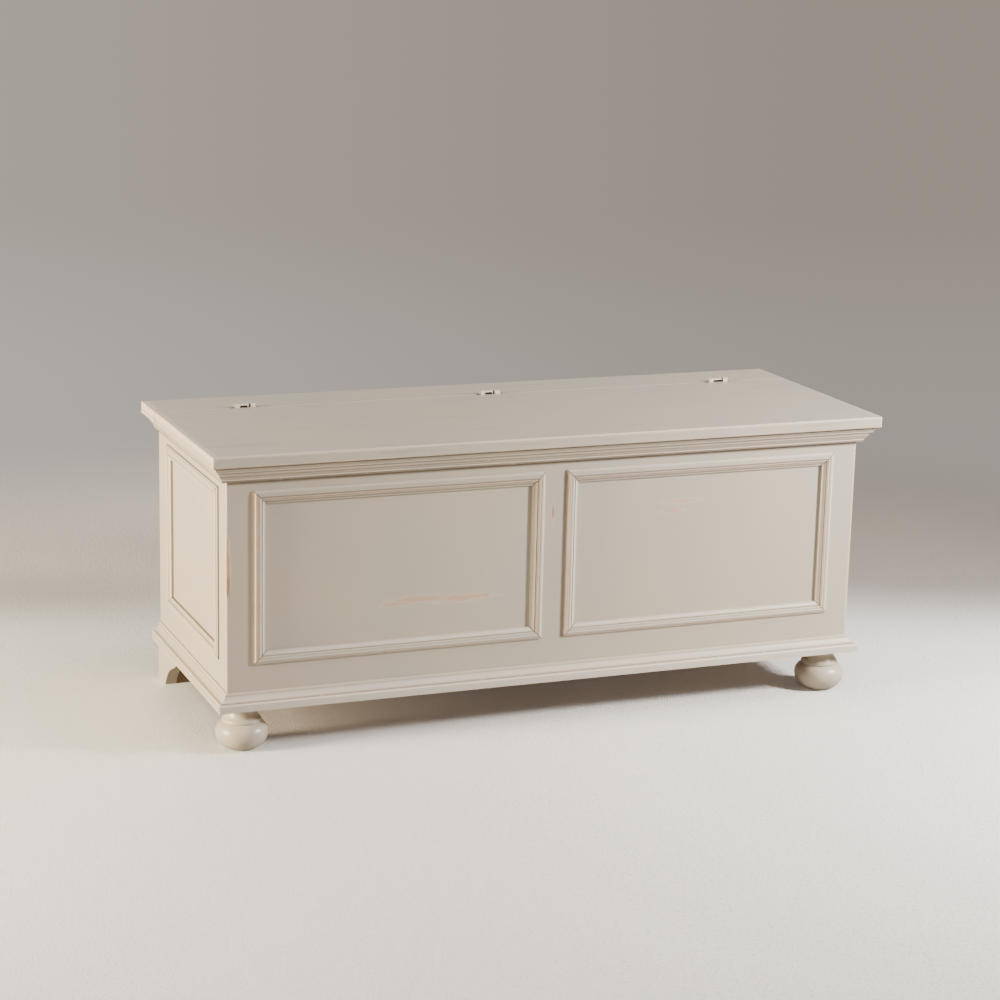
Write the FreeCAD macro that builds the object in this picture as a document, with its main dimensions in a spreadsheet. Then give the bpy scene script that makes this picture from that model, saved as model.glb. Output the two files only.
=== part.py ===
import FreeCAD, Part
import math
import operator
import os
import Sketcher

# Painted storage chest: frame and panel case, hinged lid, turned front feet, bracket rear feet
# Millimetres; x to the right, the front faces -y, z up from the floor under the middle of the lid

sizes = {
    # whole chest
    "lid_length": 1200,
    "overall_depth": 467,
    "lid_thickness": 19.5,
    "side_overhang": 31,
    "front_overhang": 33,
    "case_height": 409.5,
    "foot_height": 74,
    # lid and the fixed rail that carries its hinges
    "hinge_rail_depth": 94,
    "lid_gap": 1,
    "upper_arris": 2,
    "lower_arris": 3,
    "joint_arris": 1,
    # frames and panels of the walls
    "board_thickness": 20,
    "corner_arris": 1.5,
    "stile_width": 56,
    "rear_stile_width": 74,
    "muntin_width": 63,
    "top_rail_width": 57.5,
    "bottom_rail_width": 86,
    "groove_depth": 8,
    "tongue_thickness": 6,
    "tongue_setback": 7,
    "tongue_play": 0.8,
    "panel_setback": 3,
    "panel_thickness": 14,
    "panel_play": 0.9,
    # back and floor
    "back_thickness": 18,
    "back_rebate": 10,
    "floor_thickness": 10,
    "floor_rise": 30,
    # mouldings
    "moulding_width": 22,
    "moulding_height": 5.2,
    "moulding_lap": 12,
    "cornice_projection": 24,
    "cornice_height": 27.5,
    "cornice_clearance": 0.8,
    "base_projection": 16.3,
    "base_height": 29,
    # feet
    "foot_side_inset": 33.4,
    "foot_front_inset": 30,
    "foot_neck_radius": 26,
    "foot_ring_radius": 31.8,
    "foot_bun_radius": 43.3,
    "foot_sole_radius": 20.5,
    "foot_bun_height": 45.5,
    "foot_spigot_radius": 10,
    "foot_spigot_height": 24,
    "spigot_clearance": 0.2,
    "front_block_width": 60,
    "rear_foot_length": 134.5,
    "rear_foot_projection": 3.8,
    "rear_foot_thickness": 20,
    "rear_block_width": 44,
    # hinges
    "hinge_length": 37,
    "hinge_spacing": 452.5,
    "hinge_shift": 11,
    "middle_knuckle": 18,
    "knuckle_gap": 0.25,
    "knuckle_wall": 1.6,
    "leaf_thickness": 1.5,
    "leaf_height": 17,
    "pin_radius": 1.5,
    "pin_play": 0.05,
    "hinge_lift": 0.2,
    "notch_margin": 0.6,
    "notch_end": 3,
    "screw_spacing": 24,
    "screw_drop": 11,
    "screw_head_radius": 2.4,
    "screw_radius": 1.2,
    "screw_length": 14,
    "screw_clearance": 0.05,
    "overrun": 5,
}

# Share of the wood behind the panel groove that the floor's groove takes
floor_groove_share = 0.75
# Where a rounded arris meets the mitre plane, over its radius, and the rise of that arc over its chord
arris_mitre_share = 0.2929
arris_bow_share = 0.0995

# Outlines as (share of projection, share of height or width, bow of the arc that arrives there)
cornice_shares = [
    (1, 0),
    (1, 0.08),
    (0.87, 0.25, -0.15),
    (0.84, 0.36),
    (0.62, 0.56, 0.14),
    (0.6, 0.6),
    (0.43, 0.8, -0.12),
    (0.39, 0.85),
    (0.39, 1),
]
base_shares = [
    (1, 0),
    (1, 0.37),
    (0.88, 0.465, -0.15),
    (0.76, 0.47),
    (0.72, 0.51),
    (0.2, 0.85, 0.1),
    (0.16, 0.94),
    (0.06, 1),
]
moulding_shares = [
    (0.5, 0),
    (0.98, 0.17, 0.2),
    (0.8, 0.37, -0.08),
    (1, 0.52, -0.06),
    (0.88, 0.63, 0.15),
    (0.55, 0.635),
    (0.55, 0.67),
    (0.88, 0.675),
    (0.2, 1, 0.14),
]
# Scroll of a rear foot as (share of length from the back, share of height, bow)
scroll_shares = [
    (0.335, 0),
    (0.684, 0.573, -0.095),
    (0.95, 0.82, 0.03),
    (0.965, 0.87),
    (1, 0.87),
    (1, 1),
]
# Ball foot heights as shares of the bun's height and of the foot's height
bun_widest_share = 0.61
ring_top_share = 0.69
ring_bow_share = -0.12
neck_bow_share = 0.16


# A number together with the sheet formula that gives it
class Length:
    def __init__(self, number, formula):
        self.number = float(number)
        self.formula = formula

    def __add__(self, other):
        return combined(self, "+", other)

    def __radd__(self, other):
        return combined(other, "+", self)

    def __sub__(self, other):
        return combined(self, "-", other)

    def __rsub__(self, other):
        return combined(other, "-", self)

    def __mul__(self, other):
        return combined(self, "*", other)

    def __rmul__(self, other):
        return combined(other, "*", self)

    def __truediv__(self, other):
        return combined(self, "/", other)

    def __neg__(self):
        return combined(-1, "*", self)

    def root(self):
        return Length(math.sqrt(self.number), f"sqrt({self.formula})")


def length(value):
    return value if isinstance(value, Length) else Length(value, repr(value))


def combined(first, sign, second):
    work = {"+": operator.add, "-": operator.sub, "*": operator.mul, "/": operator.truediv}[sign]
    first, second = length(first), length(second)
    return Length(work(first.number, second.number), f"({first.formula} {sign} {second.formula})")


# The sheet with one named cell for each size
doc = FreeCAD.newDocument("storage_chest")
sheet = doc.addObject("Spreadsheet::Sheet", "Sizes")
for row, (name, number) in enumerate(sizes.items(), 1):
    sheet.set(f"A{row}", name)
    sheet.set(f"B{row}", str(number))
    sheet.setAlias(f"B{row}", name)
doc.recompute()


def size(name):
    return Length(sheet.get(name), f"Sizes.{name}")


rightward = FreeCAD.Vector(1, 0, 0)
forward = FreeCAD.Vector(0, -1, 0)
upward = FreeCAD.Vector(0, 0, 1)


def new_body(label):
    body = doc.addObject("PartDesign::Body", label)
    body.Label = label
    return body


# Places a body with its x along run and its y along out
def place(body, spot, run=rightward, out=-forward):
    turn = FreeCAD.Rotation(run, out, run.cross(out), "XYZ")
    body.Placement = FreeCAD.Placement(FreeCAD.Vector(), turn)
    for axis, where in zip("xyz", spot):
        body.setExpression(f"Placement.Base.{axis}", length(where).formula)


def new_sketch(body, plane, lift):
    sketch = body.newObject("Sketcher::SketchObject", f"{body.Label}_outline")
    origin = next(item for item in body.Origin.OriginFeatures if item.Role == plane)
    sketch.AttachmentSupport = (origin, [""])
    sketch.MapMode = "FlatFace"
    sketch.setExpression("AttachmentOffset.Base.z", length(lift).formula)
    return sketch


def bind(sketch, kind, value, *where):
    number = sketch.addConstraint(Sketcher.Constraint(kind, *where, value.number))
    sketch.setExpression(f"Constraints[{number}]", value.formula)


# Closed outline through (across, up) corners; a third value bows the edge that arrives there,
# as its rise over its chord, to the left of its direction where positive
def outline(body, plane, corners, lift=0):
    sketch = new_sketch(body, plane, lift)
    count = len(corners)
    ends = []
    for index in range(count):
        here, there = corners[index], corners[(index + 1) % count]
        start = [length(value) for value in here[:2]]
        end = [length(value) for value in there[:2]]
        bow = there[2] if len(there) > 2 else 0
        first = FreeCAD.Vector(start[0].number, start[1].number, 0)
        last = FreeCAD.Vector(end[0].number, end[1].number, 0)
        if bow:
            middle = (first + last) / 2 + FreeCAD.Vector(first.y - last.y, last.x - first.x, 0) * bow
            turn = (last, middle, first) if bow > 0 else (first, middle, last)
            sketch.addGeometry(Part.Arc(*turn))
            across, up = end[0] - start[0], end[1] - start[1]
            chord = (across * across + up * up).root()
            ends.append((2, 1) if bow > 0 else (1, 2))
            bind(sketch, "Radius", chord * (1 / (8 * abs(bow)) + abs(bow) / 2), index)
        else:
            sketch.addGeometry(Part.LineSegment(first, last))
            ends.append((1, 2))
        bind(sketch, "DistanceX", start[0], -1, 1, index, ends[index][0])
        bind(sketch, "DistanceY", start[1], -1, 1, index, ends[index][0])
    for index in range(count):
        following = (index + 1) % count
        sketch.addConstraint(
            Sketcher.Constraint("Coincident", index, ends[index][1], following, ends[following][0])
        )
    return sketch


# Circles as (across, up, radius)
def circles(body, plane, places, lift=0):
    sketch = new_sketch(body, plane, lift)
    for index, place_and_radius in enumerate(places):
        across, up, radius = [length(value) for value in place_and_radius]
        centre = FreeCAD.Vector(across.number, up.number, 0)
        sketch.addGeometry(Part.Circle(centre, FreeCAD.Vector(0, 0, 1), radius.number))
        bind(sketch, "Radius", radius, index)
        bind(sketch, "DistanceX", across, -1, 1, index, 3)
        bind(sketch, "DistanceY", up, -1, 1, index, 3)
    return sketch


def rectangle(left, bottom, right, top):
    return [(left, bottom), (right, bottom), (right, top), (left, top)]


def pad(body, sketch, depth):
    feature = body.newObject("PartDesign::Pad", f"{body.Label}_pad")
    feature.Profile = sketch
    feature.setExpression("Length", length(depth).formula)
    body.Tip = feature
    return feature


# Cuts along the sketch's normal by a depth, or both ways through everything
def pocket(body, sketch, depth=None, taper=0):
    feature = body.newObject("PartDesign::Pocket", f"{body.Label}_pocket")
    feature.Profile = sketch
    if depth is None:
        feature.Type = "ThroughAll"
        feature.SideType = "Symmetric"
    else:
        feature.Reversed = True
        feature.setExpression("Length", length(depth).formula)
    feature.TaperAngle = taper
    body.Tip = feature
    return feature


def revolve(body, sketch):
    feature = body.newObject("PartDesign::Revolution", f"{body.Label}_turning")
    feature.Profile = sketch
    feature.ReferenceAxis = (sketch, ["V_Axis"])
    feature.Angle = 360
    body.Tip = feature


# Rounds the edges of the last feature whose box passes the test
def ease(body, radius, wanted):
    doc.recompute()
    base = body.Tip
    names = [f"Edge{number}" for number, edge in enumerate(base.Shape.Edges, 1) if wanted(edge.BoundBox)]
    feature = body.newObject("PartDesign::Fillet", f"{body.Label}_arris")
    feature.Base = (base, names)
    feature.setExpression("Radius", radius.formula)
    body.Tip = feature


# Several pieces of one kind under one name
def group(label, bodies):
    whole = doc.addObject("Part::Compound", label)
    whole.Label = label
    whole.Links = bodies
    return whole


# Main planes of the chest
case_width = size("lid_length") - size("side_overhang") * 2
case_depth = size("overall_depth") - size("front_overhang")
case_half = case_width / 2
front_plane = size("front_overhang") - size("overall_depth") / 2
back_plane = size("overall_depth") / 2
case_bottom = size("foot_height")
case_top = size("foot_height") + size("case_height")
inner_half = case_half - size("board_thickness")
inner_front = front_plane + size("board_thickness")
rail_front = back_plane - size("hinge_rail_depth")
lid_back = rail_front - size("lid_gap")
tongue_back = size("tongue_setback") + size("tongue_thickness")
floor_groove = (size("board_thickness") - tongue_back) * floor_groove_share
floor_bottom = case_bottom + size("floor_rise")


# One wall seen from outside, measured rightward and up from its lower left corner
class Wall:
    def __init__(self, out, x, y):
        self.out = out
        self.right = upward.cross(out)
        self.x = x
        self.y = y

    # Lays a body along one edge of a rectangle on the wall, clockwise, with its z into the rectangle
    def lay(self, body, edge, left, bottom, right, top):
        along, height, inward, span = {
            "top": (left, top, -upward, right - left),
            "right": (right, top, -self.right, top - bottom),
            "bottom": (right, bottom, upward, right - left),
            "left": (left, bottom, self.right, top - bottom),
        }[edge]
        spot = (self.x + along * round(self.right.x), self.y + along * round(self.right.y), height)
        place(body, spot, self.out.cross(inward), self.out)
        return span


front_wall = Wall(forward, -case_half, front_plane)
right_wall = Wall(rightward, case_half, front_plane)
left_wall = Wall(-rightward, -case_half, back_plane)


# Groove for the panels in the edge of a frame piece, from its back lip to its front lip
def edge_groove(edge, bottom):
    return [
        (-tongue_back, edge),
        (-tongue_back, bottom),
        (-size("tongue_setback"), bottom),
        (-size("tongue_setback"), edge),
    ]


# Stub tenon at both ends of a rail or of the muntin
def stub_tenons(body, low, high, start, end):
    outer = rectangle(-tongue_back, low, -size("tongue_setback"), high)
    pad(body, outline(body, "YZ_Plane", outer, start - size("groove_depth")), size("groove_depth"))
    pad(body, outline(body, "YZ_Plane", outer, end), size("groove_depth"))


def rail(label, wall, edge, span_box, width, first_stile, last_stile):
    body = new_body(label)
    span = wall.lay(body, edge, *span_box)
    thickness = size("board_thickness")
    section = [(0, 0), (-thickness, 0)]
    if edge == "bottom":
        rise, depth = size("floor_rise"), floor_groove
        over = rise + size("floor_thickness")
        section += [(-thickness, rise), (depth - thickness, rise)]
        section += [(depth - thickness, over), (-thickness, over)]
    section += [(-thickness, width)] + edge_groove(width, width - size("groove_depth")) + [(0, width)]
    pad(body, outline(body, "YZ_Plane", section, first_stile), span - first_stile - last_stile)
    stub_tenons(body, 0, width - size("groove_depth"), first_stile, span - last_stile)
    return body


# Slot across the inner face of a stile for the edge of the floor
def floor_slot(body, edge, span, width):
    low = size("floor_rise")
    if edge == "right":
        low = span - size("floor_rise") - size("floor_thickness")
    across = rectangle(low, -size("overrun"), low + size("floor_thickness"), width + size("overrun"))
    start = size("board_thickness") - floor_groove
    pocket(body, outline(body, "XZ_Plane", across, start), floor_groove + size("overrun"))


# Corner stile: its outer edge is mitred to the stile round the corner
def corner_stile(label, wall, edge, span_box):
    body = new_body(label)
    span = wall.lay(body, edge, *span_box)
    thickness, arris, width = size("board_thickness"), size("corner_arris"), size("stile_width")
    meet = arris * arris_mitre_share
    section = [(0, arris), (-meet, meet, arris_bow_share), (-thickness, thickness), (-thickness, width)]
    section += edge_groove(width, width - size("groove_depth")) + [(0, width)]
    pad(body, outline(body, "YZ_Plane", section), span)
    floor_slot(body, edge, span, width)
    return body


# Rear stile of a side: its back edge is rebated for the back board
def rear_stile(label, wall, edge, span_box):
    body = new_body(label)
    span = wall.lay(body, edge, *span_box)
    thickness, width = size("board_thickness"), size("rear_stile_width")
    lip = thickness - size("back_rebate")
    section = [(0, 0), (-lip, 0), (-lip, size("back_thickness")), (-thickness, size("back_thickness"))]
    section += [(-thickness, width)] + edge_groove(width, width - size("groove_depth")) + [(0, width)]
    pad(body, outline(body, "YZ_Plane", section), span)
    floor_slot(body, edge, span, width)
    return body


def muntin(label, wall, middle):
    body = new_body(label)
    width, thickness = size("muntin_width"), size("board_thickness")
    low, high = case_bottom + size("bottom_rail_width"), case_top - size("top_rail_width")
    span = wall.lay(body, "left", middle - width / 2, low, middle + width / 2, high)
    near_groove = [(across, up) for across, up in reversed(edge_groove(0, size("groove_depth")))]
    section = [(0, 0)] + near_groove + [(-thickness, 0), (-thickness, width)]
    section += edge_groove(width, width - size("groove_depth")) + [(0, width)]
    pad(body, outline(body, "YZ_Plane", section), span)
    stub_tenons(body, size("groove_depth"), width - size("groove_depth"), 0, span)
    return body


# Panel: a thick field that shows, on a thin tongue held in the grooves of its frame
def panel(label, wall, left, bottom, right, top):
    body = new_body(label)
    width = wall.lay(body, "top", left, bottom, right, top)
    height = top - bottom
    play = size("panel_play")
    field = rectangle(play, play, width - play, height - play)
    pad(body, outline(body, "XZ_Plane", field, size("panel_setback")), size("panel_thickness"))
    held = size("groove_depth") - size("tongue_play")
    tongue = rectangle(-held, -held, width + held, height + held)
    pad(body, outline(body, "XZ_Plane", tongue, size("tongue_setback")), size("tongue_thickness"))
    return body


# One mitred length of the moulding that covers the joint between a panel and its frame
def panel_moulding(label, wall, edge, left, bottom, right, top):
    body = new_body(label)
    lap, over = size("moulding_lap"), size("overrun")
    span = wall.lay(body, edge, left - lap, bottom - lap, right + lap, top + lap)
    width = size("moulding_width")
    section = [(0, 0)]
    for out_share, across_share, *bow in moulding_shares:
        section.append((size("moulding_height") * out_share, width * across_share, *bow))
    section += [(-size("panel_setback"), width), (-size("panel_setback"), lap), (0, lap)]
    pad(body, outline(body, "YZ_Plane", section), span)
    first_mitre = [(-over, -over), (width + over, width + over), (-over, width + over)]
    last_mitre = [(span - across, up) for across, up in first_mitre]
    pocket(body, outline(body, "XZ_Plane", first_mitre))
    pocket(body, outline(body, "XZ_Plane", last_mitre))
    return body


# A length of cornice or base moulding, mitred at the ends that turn a corner
def wall_moulding(label, wall, edge, left, right, bottom, top, section, reach, mitres):
    body = new_body(label)
    span = wall.lay(body, edge, left, bottom, right, top)
    over = size("overrun")
    pad(body, outline(body, "YZ_Plane", section), span)
    first_mitre = [(-over, -over), (reach + over, -over), (-over, reach + over)]
    last_mitre = [(span - across, up) for across, up in first_mitre]
    if mitres[0]:
        pocket(body, outline(body, "XY_Plane", first_mitre))
    if mitres[1]:
        pocket(body, outline(body, "XY_Plane", last_mitre))
    return body


def cornice_section(clearance):
    section = [(clearance, 0)]
    for out_share, down_share, *bow in cornice_shares:
        section.append((size("cornice_projection") * out_share, size("cornice_height") * down_share, *bow))
    return section + [(clearance, size("cornice_height"))]


def cornice(label, wall, left, right, clearance, mitres):
    bottom = case_top - size("cornice_height")
    section, reach = cornice_section(clearance), size("cornice_projection")
    return wall_moulding(label, wall, "top", left, right, bottom, case_top, section, reach, mitres)


def base_moulding(label, wall, left, right, mitres):
    top = case_bottom + size("base_height")
    section = [(0, 0)]
    for out_share, up_share, *bow in base_shares:
        section.append((size("base_projection") * out_share, size("base_height") * up_share, *bow))
    section.append((0, size("base_height")))
    reach = size("base_projection")
    return wall_moulding(label, wall, "bottom", left, right, case_bottom, top, section, reach, mitres)


def plain_board(label, corners, bottom, thickness):
    body = new_body(label)
    place(body, (0, 0, bottom))
    pad(body, outline(body, "XY_Plane", corners), thickness)
    return body


# Turned front foot: bun, astragal ring, coved neck and a spigot for the corner block
def ball_foot(label, side):
    body = new_body(label)
    place(body, ((case_half - size("foot_side_inset")) * side, front_plane + size("foot_front_inset"), 0))
    bun, ring, sole = size("foot_bun_radius"), size("foot_ring_radius"), size("foot_sole_radius")
    bun_top, height = size("foot_bun_height"), size("foot_height")
    widest = bun_top * bun_widest_share
    ring_top = height * ring_top_share
    spigot, spigot_top = size("foot_spigot_radius"), height + size("foot_spigot_height")
    profile = [
        (0, 0),
        (sole, 0),
        (bun, widest, quarter_bow(sole, 0, bun, widest)),
        (ring, bun_top, quarter_bow(ring, bun_top, bun, widest)),
        (ring, ring_top, ring_bow_share),
        (size("foot_neck_radius"), height, neck_bow_share),
        (spigot, height),
        (spigot, spigot_top),
        (0, spigot_top),
    ]
    revolve(body, outline(body, "XZ_Plane", profile))
    return body


# Bow of an arc from a height near the axis that ends upright where the bun is widest
def quarter_bow(near_radius, near_height, far_radius, far_height):
    across = abs(far_radius.number - near_radius.number)
    up = abs(length(far_height).number - length(near_height).number)
    return -math.tan(math.atan2(across, up) / 2) / 2


# Block in a front corner under the floor, bored for the spigot of the turned foot
def front_corner_block(label, side):
    body = new_body(label)
    inset, depth, width = size("foot_side_inset"), size("foot_front_inset"), size("front_block_width")
    place(body, ((case_half - inset) * side, front_plane + depth, case_bottom))
    outer = (inset - size("board_thickness")) * side
    inner = (inset - size("board_thickness") - width) * side
    near = size("board_thickness") - depth
    pad(body, outline(body, "XY_Plane", rectangle(outer, near, inner, near + width)), size("floor_rise"))
    bore = circles(body, "XY_Plane", [(0, 0, size("foot_spigot_radius") + size("spigot_clearance"))])
    pocket(body, bore)
    return body


# Rear bracket foot in the plane of the side wall, with a scrolled front edge
def rear_foot(label, side):
    body = new_body(label)
    outer = case_half + size("rear_foot_projection")
    left = outer - size("rear_foot_thickness") if side > 0 else -outer
    place(body, (left, back_plane, 0))
    scroll = [(0, 0)]
    for back_share, up_share, *bow in scroll_shares:
        scroll.append((-size("rear_foot_length") * back_share, size("foot_height") * up_share, *bow))
    scroll.append((0, size("foot_height")))
    pad(body, outline(body, "YZ_Plane", scroll), size("rear_foot_thickness"))
    return body


def rear_corner_block(label, side):
    outer = case_half + size("rear_foot_projection") - size("rear_foot_thickness")
    near, far = outer * side, (outer - size("rear_block_width")) * side
    corners = rectangle(near, back_plane - size("rear_block_width"), far, back_plane)
    return plain_board(label, corners, 0, size("foot_height"))


# Hinge pin axis, above the joint between the lid and the hinge rail
barrel_radius = size("pin_radius") + size("pin_play") + size("knuckle_wall")
pin_height = case_top + size("lid_thickness") + size("hinge_lift") + barrel_radius
pin_depth = rail_front - barrel_radius
leaf_foot = pin_height - size("leaf_height")
hinge_places = [size("hinge_shift") + size("hinge_spacing") * step for step in (-1, 0, 1)]
screw_places = [centre + size("screw_spacing") * half for centre in hinge_places for half in (-0.5, 0.5)]


# Leaf of a butt hinge: the plate stands upright against the wood, its knuckles round the pin
def hinge_leaf(label, centre, on_lid):
    body = new_body(label)
    place(body, (centre, pin_depth, pin_height))
    half, middle, gap = size("hinge_length") / 2, size("middle_knuckle") / 2, size("knuckle_gap")
    foot, cleared = -size("leaf_height"), -barrel_radius - gap
    if on_lid:
        top = [(half, 0), (middle + gap, 0), (middle + gap, cleared)]
        top += [(-middle - gap, cleared), (-middle - gap, 0), (-half, 0)]
        knuckles = [(-half, half - middle - gap), (middle + gap, half - middle - gap)]
        lift = barrel_radius - size("leaf_thickness")
        inner_face = lift
    else:
        top = [(half, cleared), (middle, cleared), (middle, 0)]
        top += [(-middle, 0), (-middle, cleared), (-half, cleared)]
        knuckles = [(-middle, middle * 2)]
        lift = -barrel_radius
        inner_face = size("leaf_thickness") - barrel_radius
    pad(body, outline(body, "XZ_Plane", [(-half, foot), (half, foot)] + top, lift), size("leaf_thickness"))
    for start, width in knuckles:
        pad(body, circles(body, "YZ_Plane", [(0, 0, barrel_radius)], start), width)
    pocket(body, circles(body, "YZ_Plane", [(0, 0, size("pin_radius") + size("pin_play"))]))
    countersink(body, inner_face, on_lid)
    return body


# Countersunk holes for two screws, from the leaf's inner face
def countersink(body, inner_face, on_lid):
    head = size("screw_head_radius") + size("screw_clearance")
    shank = size("screw_radius") + size("screw_clearance")
    spots = [(size("screw_spacing") * half, -size("screw_drop")) for half in (-0.5, 0.5)]
    pocket(body, circles(body, "XZ_Plane", [(*spot, shank) for spot in spots]))
    sunk = circles(body, "XZ_Plane", [(*spot, head) for spot in spots], inner_face)
    cone = pocket(body, sunk, head - shank, -45)
    cone.Reversed = on_lid


def hinge_pin(label, centre):
    body = new_body(label)
    place(body, (centre, pin_depth, pin_height))
    half = size("hinge_length") / 2
    pad(body, circles(body, "YZ_Plane", [(0, 0, size("pin_radius"))], -half), size("hinge_length"))
    return body


# Countersunk wood screw through a leaf into the edge of the lid or of the hinge rail
def hinge_screw(label, across, into_lid):
    body = new_body(label)
    side = -1 if into_lid else 1
    face = pin_depth + (barrel_radius - size("leaf_thickness")) * side
    point = -forward * side
    place(body, (across, face, pin_height - size("screw_drop")), rightward, rightward.cross(point))
    head, shank, reach = size("screw_head_radius"), size("screw_radius"), size("screw_length")
    profile = [(0, 0), (head, 0), (shank, shank - head), (shank, shank - reach), (0, -reach)]
    revolve(body, outline(body, "XZ_Plane", profile))
    return body


# Pilot holes for the hinge screws in the edge of a board whose origin is on the chest's middle
def pilot_holes(body, face, depth, toward_front):
    height = pin_height - size("screw_drop") - case_top
    radius = size("screw_radius") + size("screw_clearance")
    sketch = circles(body, "XZ_Plane", [(across, height, radius) for across in screw_places], face)
    hole = pocket(body, sketch, depth)
    hole.Reversed = toward_front


# Fixed rail behind the lid that the hinges are screwed to
def hinge_rail(label):
    body = new_body(label)
    place(body, (0, 0, case_top))
    half, thickness = size("lid_length") / 2, size("lid_thickness")
    pad(body, outline(body, "XY_Plane", rectangle(-half, rail_front, half, back_plane)), thickness)
    top, front = thickness.number, rail_front.number
    ease(body, size("upper_arris"), lambda box: box.ZMin > top / 2 and box.YMax > front + top)
    ease(body, size("joint_arris"), lambda box: box.ZMin > top / 2 and box.YMax < front + top / 2
         and box.XLength > half.number)
    depth = size("screw_length") - size("leaf_thickness")
    pilot_holes(body, -rail_front, depth, False)
    return body


# Lid board, notched along its back edge for the hinges
def lid_board(label):
    body = new_body(label)
    place(body, (0, 0, case_top))
    half, thickness = size("lid_length") / 2, size("lid_thickness")
    front = -size("overall_depth") / 2
    pad(body, outline(body, "XY_Plane", rectangle(-half, front, half, lid_back)), thickness)
    middle, back, side = thickness.number / 2, lid_back.number, half.number
    edge = size("overrun").number
    ease(body, size("lower_arris"), lambda box: box.ZLength > middle and box.YMin < 0)
    ease(body, size("upper_arris"), lambda box: box.ZMin > middle and box.YMin < back - edge)
    ease(body, size("lower_arris"), lambda box: box.ZMax < middle / 2)
    ease(body, size("joint_arris"), lambda box: box.ZMin > middle and box.YMin > back - edge
         and box.XLength > side)
    depth = lid_back - pin_depth + barrel_radius
    low, high = leaf_foot - size("notch_margin") - case_top, thickness + size("overrun")
    for centre in hinge_places:
        left = centre - size("hinge_length") / 2 - size("notch_end")
        right = centre + size("hinge_length") / 2 + size("notch_margin")
        notch = outline(body, "XZ_Plane", rectangle(left, low, right, high), -lid_back - size("overrun"))
        pocket(body, notch, depth + size("overrun"))
    pilot_holes(body, barrel_radius - pin_depth, size("screw_length") - size("leaf_thickness"), True)
    return body


# Walls
front_box = (length(0), case_bottom, case_width, case_top)
side_box = (length(0), case_bottom, case_depth, case_top)
stile, rear = size("stile_width"), size("rear_stile_width")
top_width, bottom_width = size("top_rail_width"), size("bottom_rail_width")
panel_bottom, panel_top = case_bottom + bottom_width, case_top - top_width
half_muntin = size("muntin_width") / 2
pieces = [
    corner_stile("front_stile_left", front_wall, "left", front_box),
    corner_stile("front_stile_right", front_wall, "right", front_box),
    rail("front_rail_top", front_wall, "top", front_box, top_width, stile, stile),
    rail("front_rail_bottom", front_wall, "bottom", front_box, bottom_width, stile, stile),
    muntin("front_muntin", front_wall, case_half),
    corner_stile("left_side_front_stile", left_wall, "right", side_box),
    rear_stile("left_side_rear_stile", left_wall, "left", side_box),
    rail("left_side_rail_top", left_wall, "top", side_box, top_width, rear, stile),
    rail("left_side_rail_bottom", left_wall, "bottom", side_box, bottom_width, stile, rear),
    corner_stile("right_side_front_stile", right_wall, "left", side_box),
    rear_stile("right_side_rear_stile", right_wall, "right", side_box),
    rail("right_side_rail_top", right_wall, "top", side_box, top_width, stile, rear),
    rail("right_side_rail_bottom", right_wall, "bottom", side_box, bottom_width, rear, stile),
]

# Panels and the mitred mouldings round them
panel_openings = {
    "front_left": (front_wall, stile, case_half - half_muntin),
    "front_right": (front_wall, case_half + half_muntin, case_width - stile),
    "left_side": (left_wall, rear, case_depth - stile),
    "right_side": (right_wall, stile, case_depth - rear),
}
for name, (wall, left, right) in panel_openings.items():
    opening = (left, panel_bottom, right, panel_top)
    pieces.append(panel(f"{name}_panel", wall, *opening))
    for edge in ("top", "right", "bottom", "left"):
        pieces.append(panel_moulding(f"{name}_moulding_{edge}", wall, edge, *opening))

# Back board between the rear stiles, with a groove for the floor
back_half = case_half - size("board_thickness") + size("back_rebate")
back_board = new_body("back_board")
place(back_board, (-back_half, back_plane - size("back_thickness"), case_bottom))
floor_over = size("floor_rise") + size("floor_thickness")
back_section = [
    (0, 0),
    (size("back_thickness"), 0),
    (size("back_thickness"), size("case_height")),
    (0, size("case_height")),
    (0, floor_over),
    (floor_groove, floor_over),
    (floor_groove, size("floor_rise")),
    (0, size("floor_rise")),
]
pad(back_board, outline(back_board, "YZ_Plane", back_section), back_half * 2)

# Floor, held in the grooves of all four walls
floor_half = inner_half + floor_groove
floor_corners = rectangle(
    -floor_half,
    inner_front - floor_groove,
    floor_half,
    back_plane - size("back_thickness") + floor_groove,
)
pieces += [
    back_board,
    plain_board("floor_board", floor_corners, floor_bottom, size("floor_thickness")),
]

# Base moulding, flush with the back
base_reach = size("base_projection")
pieces += [
    base_moulding("base_moulding_front", front_wall, -base_reach, case_width + base_reach, (True, True)),
    base_moulding("base_moulding_left", left_wall, length(0), case_depth + base_reach, (True, False)),
    base_moulding("base_moulding_right", right_wall, -base_reach, case_depth, (False, True)),
]

# Feet
for name, side in (("left", -1), ("right", 1)):
    pieces += [
        ball_foot(f"ball_foot_{name}", side),
        front_corner_block(f"front_corner_block_{name}", side),
        rear_foot(f"rear_foot_{name}", side),
        rear_corner_block(f"rear_corner_block_{name}", side),
    ]

# Hinge rail with the short ends of cornice that stay under it
reach = size("cornice_projection")
fixed_start = rail_front - front_plane
moving_end = lid_back - front_plane
left_start = case_depth - moving_end
pieces += [
    hinge_rail("hinge_rail"),
    cornice("cornice_end_left", left_wall, length(0), case_depth - fixed_start, length(0), (False, False)),
    cornice("cornice_end_right", right_wall, fixed_start, case_depth, length(0), (False, False)),
]

# Lid with the cornice that moves with it
clear = size("cornice_clearance")
pieces += [
    lid_board("lid_board"),
    cornice("lid_cornice_front", front_wall, -reach, case_width + reach, clear, (True, True)),
    cornice("lid_cornice_left", left_wall, left_start, case_depth + reach, clear, (False, True)),
    cornice("lid_cornice_right", right_wall, -reach, moving_end, clear, (True, False)),
]

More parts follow.
